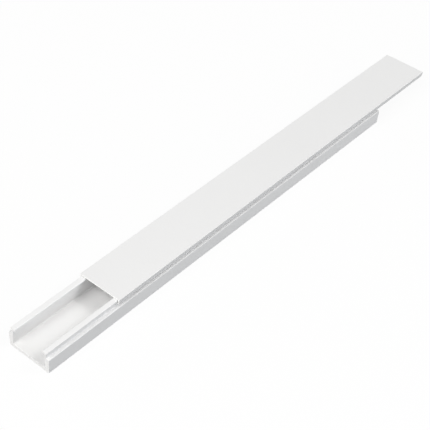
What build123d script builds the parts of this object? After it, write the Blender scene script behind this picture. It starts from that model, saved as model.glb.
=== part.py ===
from build123d import *
import os

# Surface raceway for cords: a base channel and the lid that clips over its lips and slides along it.
# Millimetres. X runs along the raceway, Z is up from the flat back, and the origin is the centre of
# the base's back face. Both pieces are extrusions: a half section, mirrored and drawn out along X.

# Lengths along the raceway
length = 250.0           # base and lid are sawn to the same length
lid_slide_out = 43.4     # how far the stored lid is drawn out past the base

# Base channel
base_width = 25.0        # over the shoulders, its widest place
wall_lean = 0.3          # how far each wall leans outwards from foot to shoulder
shoulder_height = 8.2    # flat ledge outside the lips
wall_thickness = 2.2     # at the floor
floor_thickness = 1.8
neck_thickness = 0.9     # upright that carries the lip
lip_thickness = 1.25     # head of the lip over its neck
lip_roll = 1.3           # rolled edge that stands in over the channel from the neck
bead_reach = 0.65        # how far the bead stands out from the neck
bead_edge = 0.65         # upright outer edge of the bead, above its sloping catch face

# Clip-on lid
overall_height = 12.6    # back of the base to the top of the lid
lid_setback = 0.15       # from the base's shoulder to the lid's edge, on each side
lid_thickness = 0.7
leg_drop = 3.0           # top of the lid to the foot of its legs
leg_thickness = 0.65
leg_toe_in = 0.45        # how far each leg leans inwards from the top of the lid to its foot
leg_foot_width = 0.6     # flat underside of the leg, outside the barb's lead-in
barb_face = 0.3          # upright tip of the barb

# Fit of lid on base
clearance = 0.15         # running gap on every side
snap_overlap = 0.35      # how far each barb reaches under its bead

# Rounded corners
foot_radius = 0.15
shoulder_radius = 0.3
channel_radius = 0.8     # inside the channel, along the floor
root_radius = 0.1
lead_in_radius = 0.25    # top of the bead, where the lid's barb rides over it
lid_edge_radius = 0.2
lid_corner_radius = 0.3  # inside, between plate and leg
catch_radius = 0.08      # edges of the bead's and the barb's catch faces
roll_roundness = 0.95    # share of a full round that the lip's rolled edge has

# Sizes that lid and base share
lid_width = base_width - 2 * lid_setback
lid_underside = overall_height - lid_thickness
leg_underside = overall_height - leg_drop
lip_top = lid_underside - clearance
lip_underside = lip_top - lip_thickness
bead_underside = lip_top - bead_edge


def leg_outside(height):
    """Distance from the middle plane to the leaning outer face of the lid's leg."""
    return lid_width / 2 - leg_toe_in * (overall_height - height) / leg_drop


# Distances from the middle plane, worked inwards from the lid's leg to the edge of the lip
leg_inside = leg_outside(bead_underside) - leg_thickness
bead_outside = leg_inside - clearance
barb_tip = bead_outside - snap_overlap
neck_outside = bead_outside - bead_reach
neck_inside = neck_outside - neck_thickness
lip_edge = neck_inside - lip_roll

# The bead's underside slopes up and outwards, so that a firm pull frees the lid. The barb runs below it.
catch_slope = (bead_underside - lip_underside) / bead_reach
barb_gap = clearance * (1 + catch_slope ** 2) ** 0.5


def barb_top(across):
    """Height of the barb's sloping upper face at a distance from the middle plane."""
    return lip_underside + catch_slope * (across - neck_outside) - barb_gap


def base_half_section():
    """Corners of half the base, as (across, up) and a corner radius, from the middle of the back."""
    wall_foot = base_width / 2 - wall_lean * (1 - floor_thickness / shoulder_height) - wall_thickness
    roll_radius = roll_roundness * lip_thickness / 2
    return [
        ((0, 0), 0),
        ((base_width / 2 - wall_lean, 0), foot_radius),
        ((base_width / 2, shoulder_height), shoulder_radius),
        ((neck_outside, shoulder_height), root_radius),
        ((neck_outside, lip_underside), root_radius),
        ((bead_outside, bead_underside), catch_radius),
        ((bead_outside, lip_top), lead_in_radius),
        ((lip_edge, lip_top), roll_radius),
        ((lip_edge, lip_underside), roll_radius),
        ((neck_inside, lip_underside), root_radius),
        ((wall_foot, floor_thickness), channel_radius),
        ((0, floor_thickness), 0),
    ]


def lid_half_section():
    """Corners of half the lid, from the middle of its underside out over the leg and its barb."""
    return [
        ((0, lid_underside), 0),
        ((leg_outside(lid_underside) - leg_thickness, lid_underside), lid_corner_radius),
        ((leg_inside, barb_top(leg_inside)), root_radius),
        ((barb_tip, barb_top(barb_tip)), catch_radius),
        ((barb_tip, barb_top(barb_tip) - barb_face), catch_radius),
        ((leg_outside(leg_underside) - leg_foot_width, leg_underside), catch_radius),
        ((leg_outside(leg_underside), leg_underside), catch_radius),
        ((lid_width / 2, overall_height), lid_edge_radius),
        ((0, overall_height), 0),
    ]


def extrusion(half_section, start):
    """A symmetric extrusion of the raceway's length along X, from a half section and its first end."""
    points = [point for point, radius in half_section]
    radii = [radius for point, radius in half_section]
    half = make_face(FilletPolyline(*points, radius=radii, close=True))
    section = half + mirror(half, about=Plane.YZ)
    return extrude(Plane.YZ.offset(start) * section, amount=length)


pieces = {
    "base_channel": extrusion(base_half_section(), -length / 2),
    "clip_on_lid": extrusion(lid_half_section(), -length / 2 + lid_slide_out),
}

os.makedirs("parts", exist_ok=True)
for name, solid in pieces.items():
    solid.label = name
    export_step(solid, f"parts/{name}.step")
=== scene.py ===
import math

import bmesh
import bpy
from bpy.props import FloatProperty, FloatVectorProperty, PointerProperty
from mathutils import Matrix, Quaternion, Vector


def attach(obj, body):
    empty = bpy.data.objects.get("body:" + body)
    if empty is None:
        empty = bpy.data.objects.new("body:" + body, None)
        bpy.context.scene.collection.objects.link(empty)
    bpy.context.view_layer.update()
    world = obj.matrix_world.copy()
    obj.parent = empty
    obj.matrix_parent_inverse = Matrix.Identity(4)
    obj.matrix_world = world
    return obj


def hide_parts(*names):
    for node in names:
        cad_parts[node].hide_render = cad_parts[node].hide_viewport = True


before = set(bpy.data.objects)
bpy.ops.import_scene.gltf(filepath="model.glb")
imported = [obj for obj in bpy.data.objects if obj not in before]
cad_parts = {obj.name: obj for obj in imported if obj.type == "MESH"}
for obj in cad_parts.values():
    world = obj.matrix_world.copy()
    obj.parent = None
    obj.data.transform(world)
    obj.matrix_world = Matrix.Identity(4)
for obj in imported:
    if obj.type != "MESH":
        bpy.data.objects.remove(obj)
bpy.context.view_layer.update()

bl_info = {
    "name": "Cord Cover Raceway",
    "version": (1, 0, 0),
    "blender": (4, 5, 0),
    "location": "View3D > Sidebar > Raceway",
    "description": "Finishes a surface raceway: softened sawn ends, extruded white PVC and a pale studio",
    "category": "Object",
}

# Metres. X runs along the raceway, Z is up from the floor, and the base's back lies on the floor.
MM = 0.001

# Points of the tight arcs closer than this are welded, so that the edge break fits beside them.
WELD = 0.02 * MM

# Triangles that meet at less than the first angle are one flat face. Edges past the second stay sharp.
FLAT_ANGLE = math.radians(0.2)
SHARP_ANGLE = math.radians(35)

# A face whose normal has at least this share of X is square across the raceway.
SQUARE_SHARE = 0.99

# Index of refraction of rigid PVC, and the least and most roughness of its skin and of its sawn ends.
PVC_IOR = 1.54
SKIN_ROUGHNESS = (0.37, 0.47)
SAWN_ROUGHNESS = (0.56, 0.68)

# The tone drifts over about this length, and a die line is this many times as long as it is wide.
DRIFT_LENGTH = 40 * MM
LINE_STRETCH = 125

# A noise texture mostly stays between these values.
NOISE_RANGE = (0.3, 0.7)

# Distance between the diagonal bands of a wave texture of scale 1, on a face square to an axis.
WAVE_PERIOD = math.tau / (10 * math.sqrt(2))

# The floor is round, of this radius. Lamps are square, and stand this far from the raceway.
FLOOR_RADIUS = 4.0
LAMP_DISTANCE = 1.6
SMALL_LAMP = 0.55
WIDE_LAMP = 1.0

# Width of the camera's sensor in millimetres.
SENSOR_WIDTH = 36.0


def linear(hex_colour):
    """Linear RGB of an sRGB hex colour."""
    shares = [int(hex_colour[i:i + 2], 16) / 255 for i in (1, 3, 5)]
    return [s / 12.92 if s <= 0.04045 else ((s + 0.055) / 1.055) ** 2.4 for s in shares]


def opaque(colour):
    """A colour property as the four numbers that a colour socket takes."""
    return (*colour, 1.0)


def add_node(tree, kind, inputs=None, **settings):
    """Add a node with its settings. Inputs are given by socket, as values or as outputs to link."""
    node = tree.nodes.new(kind)
    for name, value in settings.items():
        setattr(node, name, value)
    for socket, value in (inputs or {}).items():
        if isinstance(value, bpy.types.NodeSocket):
            tree.links.new(value, node.inputs[socket])
        else:
            node.inputs[socket].default_value = value
    return node


class RacewayFinish(bpy.types.PropertyGroup):
    """Colours and surface of the plastic, and the softness of its sawn edges"""

    base_colour: FloatVectorProperty(
        name="Base white", description="White of the base channel's PVC",
        size=3, subtype="COLOR", min=0, max=1, default=linear("#F3F3F3"))
    lid_colour: FloatVectorProperty(
        name="Lid white", description="White of the lid's PVC, a shade deeper than the base's",
        size=3, subtype="COLOR", min=0, max=1, default=linear("#EFEFEF"))
    tone_drift: FloatProperty(
        name="Tone drift", description="How much deeper the white is where its tone has drifted",
        subtype="FACTOR", min=0, max=1, default=0.03)
    die_line_pitch: FloatProperty(
        name="Die lines", description="Usual distance between the fine lines that the die leaves",
        unit="LENGTH", subtype="DISTANCE", min=0.01 * MM, default=0.9 * MM)
    die_line_depth: FloatProperty(
        name="Die line depth", description="Depth of the fine lines that the die leaves",
        unit="LENGTH", subtype="DISTANCE", min=0, default=0.006 * MM)
    saw_mark_pitch: FloatProperty(
        name="Saw marks", description="Distance between the marks of the saw's teeth",
        unit="LENGTH", subtype="DISTANCE", min=0.01 * MM, default=0.99 * MM)
    saw_mark_depth: FloatProperty(
        name="Saw mark depth", description="Depth of the marks of the saw's teeth",
        unit="LENGTH", subtype="DISTANCE", min=0, default=0.012 * MM)
    edge_break: FloatProperty(
        name="Edge break", description="Width of the softened edge round each sawn end",
        unit="LENGTH", subtype="DISTANCE", min=0, default=0.05 * MM)


class RacewayStage(bpy.types.PropertyGroup):
    """Camera, floor and lamps"""

    azimuth: FloatProperty(
        name="Azimuth", description="Direction of the view about Z, 0 looking along +Y",
        unit="ROTATION", subtype="ANGLE", default=math.radians(-52.9))
    elevation: FloatProperty(
        name="Elevation", description="Height of the camera above the horizon, as an angle",
        unit="ROTATION", subtype="ANGLE", default=math.radians(41.671))
    roll: FloatProperty(
        name="Roll", description="Turn of the camera about its own line of sight",
        unit="ROTATION", subtype="ANGLE", default=math.radians(4.745))
    distance: FloatProperty(
        name="Distance", description="From the camera to the point that it looks at",
        unit="LENGTH", subtype="DISTANCE", min=0, default=577.46 * MM)
    target: FloatVectorProperty(
        name="Target", description="Point in the middle of the picture",
        size=3, unit="LENGTH", subtype="XYZ", default=(-2.442 * MM, -1.566 * MM, 6.0 * MM))
    lens: FloatProperty(
        name="Lens", description="Focal length in millimetres on a 36 mm wide sensor",
        min=1, default=98.175)
    floor_colour: FloatVectorProperty(
        name="Floor", description="Pale floor under the raceway, as the camera sees it",
        size=3, subtype="COLOR", min=0, max=1, default=linear("#F6F6F6"))
    floor_bounce: FloatVectorProperty(
        name="Floor bounce", description="Greyer floor that throws light back on to the raceway",
        size=3, subtype="COLOR", min=0, max=1, default=linear("#6C6C6C"))
    floor_glow: FloatProperty(
        name="Floor white", description="Share of plain white in the floor that the camera sees",
        subtype="FACTOR", min=0, max=1, default=0.93)
    sky_level: FloatProperty(
        name="Sky", description="Level of the soft light from all round", min=0, default=0.285)
    lamp_colour: FloatVectorProperty(
        name="Lamp white", description="Slightly warm white of the lamps above and at the ends",
        size=3, subtype="COLOR", min=0, max=1, default=linear("#FFFEFC"))
    side_colour: FloatVectorProperty(
        name="Side lamp white", description="Slightly cool white of the lamps along the sides",
        size=3, subtype="COLOR", min=0, max=1, default=linear("#F3F8FF"))
    top_level: FloatProperty(
        name="Top lamp", description="Level of the wide lamp above the open end", min=0, default=0.46)
    top_direction: FloatVectorProperty(
        name="Top lamp direction", description="From the raceway to the wide lamp above the open end",
        size=3, subtype="DIRECTION", default=(-0.65, 0.03, 0.76))
    near_level: FloatProperty(
        name="Near lamp", description="Level of the low lamp beyond the open end", min=0, default=0.395)
    near_direction: FloatVectorProperty(
        name="Near lamp direction", description="From the raceway to the low lamp beyond the open end",
        size=3, subtype="DIRECTION", default=(-0.98, 0.0, 0.21))
    far_level: FloatProperty(
        name="Far lamp", description="Level of the lamp above the drawn-out lid", min=0, default=0.33)
    far_direction: FloatVectorProperty(
        name="Far lamp direction", description="From the raceway to the lamp above the drawn-out lid",
        size=3, subtype="DIRECTION", default=(0.42, -0.54, 0.73))
    front_level: FloatProperty(
        name="Front lamp", description="Level of the low lamp along the camera's side", min=0, default=0.22)
    front_direction: FloatVectorProperty(
        name="Front lamp direction", description="From the raceway to the low lamp along the camera's side",
        size=3, subtype="DIRECTION", default=(0.0, -0.97, 0.26))
    back_level: FloatProperty(
        name="Back lamp", description="Level of the low lamp along the far side", min=0, default=0.16)
    back_direction: FloatVectorProperty(
        name="Back lamp direction", description="From the raceway to the low lamp along the far side",
        size=3, subtype="DIRECTION", default=(-0.09, 0.97, 0.21))


# Extruded white rigid PVC: an opaque satin white, cooled against a die. The die leaves fine lines along
# the length, which break up the sheen, and the tone drifts slowly over a few centimetres. Real die lines
# are about a tenth as far apart, too fine to show here, so they are drawn coarser.
def extruded_pvc(finish, colour):
    """Skin of a piece."""
    material = bpy.data.materials.new("extruded_white_pvc")
    material.use_nodes = True
    tree = material.node_tree
    tree.nodes.clear()
    place = add_node(tree, "ShaderNodeTexCoord").outputs["Object"]
    drift = add_node(tree, "ShaderNodeTexNoise", {"Vector": place, "Scale": 1 / DRIFT_LENGTH, "Detail": 2.0})
    tone = add_node(tree, "ShaderNodeMix", {
        "Factor": drift.outputs["Fac"],
        "A": opaque(colour),
        "B": opaque([(1 - finish.tone_drift) * share for share in colour]),
    }, data_type="RGBA")
    along = add_node(tree, "ShaderNodeMapping", {"Vector": place, "Scale": (1 / LINE_STRETCH, 1, 1)})
    lines = add_node(tree, "ShaderNodeTexNoise", {
        "Vector": along.outputs["Vector"], "Scale": 1 / finish.die_line_pitch,
        "Detail": 3.0, "Roughness": 0.6})
    satin = add_node(tree, "ShaderNodeMapRange", {
        "Value": lines.outputs["Fac"], "From Min": NOISE_RANGE[0], "From Max": NOISE_RANGE[1],
        "To Min": SKIN_ROUGHNESS[0], "To Max": SKIN_ROUGHNESS[1]})
    relief = add_node(tree, "ShaderNodeBump", {
        "Height": lines.outputs["Fac"], "Distance": finish.die_line_depth, "Strength": 1.0})
    pvc = add_node(tree, "ShaderNodeBsdfPrincipled", {
        "Base Color": tone.outputs["Result"],
        "Roughness": satin.outputs["Result"],
        "IOR": PVC_IOR,
        "Normal": relief.outputs["Normal"],
    })
    add_node(tree, "ShaderNodeOutputMaterial", {"Surface": pvc.outputs["BSDF"]})
    return material


# Sawn white rigid PVC: a fine-toothed saw leaves the cut drier than the skin, with close marks across it
# that wander a little. Here too they are drawn coarser than the real ones, which would not show.
def sawn_pvc(finish, colour):
    """Sawn end faces of a piece."""
    material = bpy.data.materials.new("sawn_white_pvc")
    material.use_nodes = True
    tree = material.node_tree
    tree.nodes.clear()
    place = add_node(tree, "ShaderNodeTexCoord").outputs["Object"]
    marks = add_node(tree, "ShaderNodeTexWave", {
        "Vector": place, "Scale": WAVE_PERIOD / finish.saw_mark_pitch,
        "Distortion": 3.0, "Detail": 2.0, "Detail Scale": 0.6,
    }, bands_direction="DIAGONAL")
    tone = add_node(tree, "ShaderNodeMix", {
        "Factor": marks.outputs["Fac"],
        "A": opaque(colour),
        "B": opaque([(1 - finish.tone_drift) * share for share in colour]),
    }, data_type="RGBA")
    dry = add_node(tree, "ShaderNodeMapRange", {
        "Value": marks.outputs["Fac"], "To Min": SAWN_ROUGHNESS[0], "To Max": SAWN_ROUGHNESS[1]})
    relief = add_node(tree, "ShaderNodeBump", {
        "Height": marks.outputs["Fac"], "Distance": finish.saw_mark_depth, "Strength": 1.0})
    pvc = add_node(tree, "ShaderNodeBsdfPrincipled", {
        "Base Color": tone.outputs["Result"],
        "Roughness": dry.outputs["Result"],
        "IOR": PVC_IOR,
        "Normal": relief.outputs["Normal"],
    })
    add_node(tree, "ShaderNodeOutputMaterial", {"Surface": pvc.outputs["BSDF"]})
    return material


def is_sawn(face):
    """Whether a face lies square across the raceway, as the sawn ends do."""
    return abs(face.normal.x) > SQUARE_SHARE


def finished_piece(name, node, body, colour, finish):
    """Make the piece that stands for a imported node, with its sawn edges softened and its finish on."""
    shape = bmesh.new()
    shape.from_mesh(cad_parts[node].data)
    bmesh.ops.remove_doubles(shape, verts=shape.verts, dist=WELD)
    bmesh.ops.dissolve_limit(shape, angle_limit=FLAT_ANGLE, verts=shape.verts, edges=shape.edges)
    rims = [edge for edge in shape.edges if any(is_sawn(face) for face in edge.link_faces)]
    bmesh.ops.bevel(
        shape, geom=rims, offset=finish.edge_break, offset_type="OFFSET", affect="EDGES",
        segments=2, profile=0.5, clamp_overlap=True, material=-1)
    for face in shape.faces:
        face.material_index = int(is_sawn(face))
    mesh = bpy.data.meshes.new(name)
    shape.to_mesh(mesh)
    shape.free()
    mesh.shade_smooth()
    mesh.set_sharp_from_angle(angle=SHARP_ANGLE)
    mesh.materials.append(extruded_pvc(finish, colour))
    mesh.materials.append(sawn_pvc(finish, colour))
    piece = bpy.data.objects.new(name, mesh)
    bpy.context.scene.collection.objects.link(piece)
    flats = piece.modifiers.new("flat_faces", "WEIGHTED_NORMAL")
    flats.keep_sharp = True
    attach(piece, body)
    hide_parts(node)


class RACEWAY_OT_base(bpy.types.Operator):
    """Finish the base channel with its hooked lips"""

    bl_idname = "raceway.base"
    bl_label = "Base channel"

    def execute(self, context):
        finish = context.scene.raceway_finish
        finished_piece("base_channel_pvc", "base_channel", "base", finish.base_colour, finish)
        return {"FINISHED"}


class RACEWAY_OT_lid(bpy.types.Operator):
    """Finish the clip-on lid with its barbed legs"""

    bl_idname = "raceway.lid"
    bl_label = "Clip-on lid"

    def execute(self, context):
        finish = context.scene.raceway_finish
        finished_piece("clip_on_lid_pvc", "clip_on_lid", "lid", finish.lid_colour, finish)
        return {"FINISHED"}


def seen_directly(tree):
    """Output that is 1 for what the camera sees, also in gloss or through glass, and 0 for light."""
    path = add_node(tree, "ShaderNodeLightPath")
    mirrored = add_node(tree, "ShaderNodeMath", {
        0: path.outputs["Is Camera Ray"], 1: path.outputs["Is Glossy Ray"]}, operation="MAXIMUM")
    seen = add_node(tree, "ShaderNodeMath", {
        0: mirrored.outputs[0], 1: path.outputs["Is Transmission Ray"]}, operation="MAXIMUM")
    return seen.outputs[0]


def pale_floor(stage):
    """Round floor under the raceway. The camera sees it as white, with a faint shadow."""
    shape = bmesh.new()
    bmesh.ops.create_circle(shape, cap_ends=True, segments=96, radius=FLOOR_RADIUS)
    mesh = bpy.data.meshes.new("floor")
    shape.to_mesh(mesh)
    shape.free()
    material = bpy.data.materials.new("studio_floor")
    material.use_nodes = True
    tree = material.node_tree
    tree.nodes.clear()
    seen = seen_directly(tree)
    tone = add_node(tree, "ShaderNodeMix", {
        "Factor": seen, "A": opaque(stage.floor_bounce), "B": opaque(stage.floor_colour)}, data_type="RGBA")
    paper = add_node(tree, "ShaderNodeBsdfDiffuse", {"Color": tone.outputs["Result"]})
    white = add_node(tree, "ShaderNodeEmission", {"Strength": 1.0})
    share = add_node(tree, "ShaderNodeMath", {0: seen, 1: stage.floor_glow}, operation="MULTIPLY")
    both = add_node(tree, "ShaderNodeMixShader", {
        0: share.outputs[0], 1: paper.outputs[0], 2: white.outputs[0]})
    add_node(tree, "ShaderNodeOutputMaterial", {"Surface": both.outputs[0]})
    mesh.materials.append(material)
    floor = bpy.data.objects.new("floor", mesh)
    bpy.context.scene.collection.objects.link(floor)


def soft_sky(stage):
    """White background, and a weaker even light from all round."""
    world = bpy.data.worlds.new("studio")
    bpy.context.scene.world = world
    world.use_nodes = True
    tree = world.node_tree
    tree.nodes.clear()
    light = add_node(tree, "ShaderNodeBackground", {"Color": (1, 1, 1, 1), "Strength": stage.sky_level})
    white = add_node(tree, "ShaderNodeBackground", {"Color": (1, 1, 1, 1), "Strength": 1.0})
    both = add_node(tree, "ShaderNodeMixShader", {
        0: seen_directly(tree), 1: light.outputs[0], 2: white.outputs[0]})
    add_node(tree, "ShaderNodeOutputWorld", {"Surface": both.outputs[0]})


def soft_lamp(name, level, colour, direction, size):
    """Square lamp turned to the raceway. At level 1 it would light a surface that faces it to white.

    It keeps out of the gloss, where its glare would wash out the lid from the far side.
    """
    lamp = bpy.data.lights.new(name, "AREA")
    lamp.size = size
    lamp.color = colour
    lamp.energy = level * (math.pi * LAMP_DISTANCE) ** 2
    towards = Vector(direction).normalized()
    holder = bpy.data.objects.new(name, lamp)
    holder.location = LAMP_DISTANCE * towards
    holder.rotation_mode = "QUATERNION"
    holder.rotation_quaternion = towards.to_track_quat("Z", "Y")
    holder.visible_glossy = False
    bpy.context.scene.collection.objects.link(holder)


def photo_camera(stage):
    """Camera at the photograph's viewing angle."""
    flat = math.cos(stage.elevation)
    back = Vector((
        math.sin(stage.azimuth) * flat, -math.cos(stage.azimuth) * flat, math.sin(stage.elevation)))
    camera = bpy.data.objects.new("camera", bpy.data.cameras.new("camera"))
    camera.data.lens = stage.lens
    camera.data.sensor_width = SENSOR_WIDTH
    camera.data.clip_start = 10 * MM
    camera.location = Vector(stage.target) + stage.distance * back
    camera.rotation_mode = "QUATERNION"
    camera.rotation_quaternion = back.to_track_quat("Z", "Y") @ Quaternion((0, 0, 1), stage.roll)
    bpy.context.scene.collection.objects.link(camera)
    bpy.context.scene.camera = camera


class RACEWAY_OT_stage(bpy.types.Operator):
    """Set the pale floor, the soft lamps and the camera"""

    bl_idname = "raceway.stage"
    bl_label = "Studio stage"

    def execute(self, context):
        stage = context.scene.raceway_stage
        context.scene.view_settings.view_transform = "Standard"
        pale_floor(stage)
        soft_sky(stage)
        soft_lamp("top_lamp", stage.top_level, stage.lamp_colour, stage.top_direction, WIDE_LAMP)
        soft_lamp("near_lamp", stage.near_level, stage.lamp_colour, stage.near_direction, SMALL_LAMP)
        soft_lamp("far_lamp", stage.far_level, stage.lamp_colour, stage.far_direction, SMALL_LAMP)
        soft_lamp("front_lamp", stage.front_level, stage.side_colour, stage.front_direction, SMALL_LAMP)
        soft_lamp("back_lamp", stage.back_level, stage.side_colour, stage.back_direction, SMALL_LAMP)
        photo_camera(stage)
        return {"FINISHED"}


class RACEWAY_PT_panel(bpy.types.Panel):
    """Sidebar panel of the raceway"""

    bl_label = "Cord Cover Raceway"
    bl_idname = "RACEWAY_PT_panel"
    bl_space_type = "VIEW_3D"
    bl_region_type = "UI"
    bl_category = "Raceway"

    def draw(self, context):
        for operator in OPERATORS:
            self.layout.operator(operator.bl_idname)
        for group in (context.scene.raceway_finish, context.scene.raceway_stage):
            box = self.layout.box()
            for name in group.__annotations__:
                box.prop(group, name)


OPERATORS = (RACEWAY_OT_base, RACEWAY_OT_lid, RACEWAY_OT_stage)
CLASSES = (RacewayFinish, RacewayStage, *OPERATORS, RACEWAY_PT_panel)


def register():
    for cls in CLASSES:
        bpy.utils.register_class(cls)
    bpy.types.Scene.raceway_finish = PointerProperty(type=RacewayFinish)
    bpy.types.Scene.raceway_stage = PointerProperty(type=RacewayStage)


def unregister():
    del bpy.types.Scene.raceway_stage
    del bpy.types.Scene.raceway_finish
    for cls in reversed(CLASSES):
        bpy.utils.unregister_class(cls)


def main():
    register()
    bpy.ops.raceway.base()
    bpy.ops.raceway.lid()
    bpy.ops.raceway.stage()


if __name__ == "__main__":
    main()
